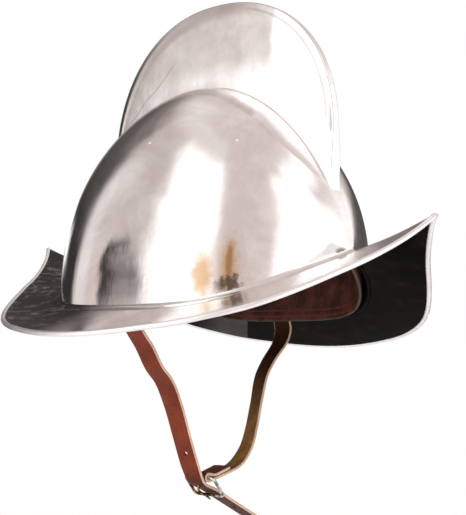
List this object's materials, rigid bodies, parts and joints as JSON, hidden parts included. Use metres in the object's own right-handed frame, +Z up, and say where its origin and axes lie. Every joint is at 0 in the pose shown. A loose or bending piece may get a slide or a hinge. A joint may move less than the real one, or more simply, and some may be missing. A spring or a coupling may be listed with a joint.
{
  "type": "comb morion helmet",
  "caption": "Open steel helmet with a tall hollow comb, a broad brim swept up to points at front and back, a leather lining band and a buckled leather chin strap.",
  "frame": {"origin": "middle of the head opening, level with the lining's lower edge at the sides, where the helmet sits on the brow", "axes": "+Z up, the wearer faces -Y, the wearer's left is +X"},
  "size_m": [0.2568, 0.345, 0.342],
  "materials": {
    "polished_steel": "polished steel outside, blackened on the brim's underside, with a little tarnish near the seam",
    "rolled_steel": "bright polished rolled edge",
    "lining_leather": "oxblood leather with a stitched lower edge",
    "strap_leather": "red-brown grain side, brown suede back, pale cut edges",
    "buckle_metal": "bright wire"
  },
  "bodies": {
    "root": {"skull_left": "polished_steel", "skull_right": "polished_steel", "brim": "polished_steel", "brim_edge": "rolled_steel", "lining": "lining_leather", "strap_right": "strap_leather", "strap_left": "strap_leather", "buckle_frame": "buckle_metal", "buckle_tongue": "buckle_metal", "strap_rivet_right": "buckle_metal", "strap_rivet_left": "buckle_metal"}
  },
  "joints": []
}
